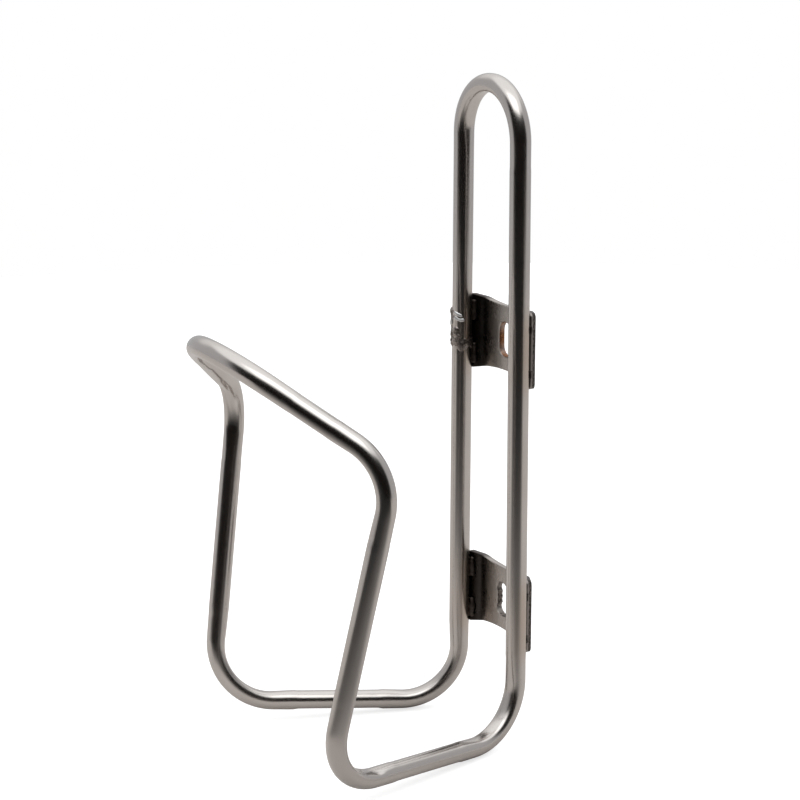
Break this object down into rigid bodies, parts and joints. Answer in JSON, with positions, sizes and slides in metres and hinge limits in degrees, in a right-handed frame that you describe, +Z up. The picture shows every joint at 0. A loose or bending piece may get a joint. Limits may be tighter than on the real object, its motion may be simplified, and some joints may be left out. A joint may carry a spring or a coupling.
{
  "type": "water bottle cage",
  "caption": "Bent stainless tube bottle cage: a hairpin back, splayed base runs and legs, a forward loop round the bottle and slotted sheet tabs that bolt to the frame.",
  "frame": {"origin": "midway between the two bolt slots, on the back faces of the mounting tabs", "axes": "+Z up along the uprights, +Y out of the back towards the bicycle's frame, +X to the right seen from the bottle's side"},
  "size_m": [0.082, 0.0792, 0.1568],
  "materials": {
    "tube_steel": "satin stainless, polished",
    "tab_steel": "satin stainless sheet",
    "weld_metal": "brushed weld bead"
  },
  "bodies": {
    "root": {"cage_tube": "tube_steel", "tube_joint_weld": "weld_metal", "upper_tab": "tab_steel", "lower_tab": "tab_steel", "upper_left_tab_weld": "weld_metal", "upper_right_tab_weld": "weld_metal", "lower_left_tab_weld": "weld_metal", "lower_right_tab_weld": "weld_metal"}
  },
  "joints": []
}
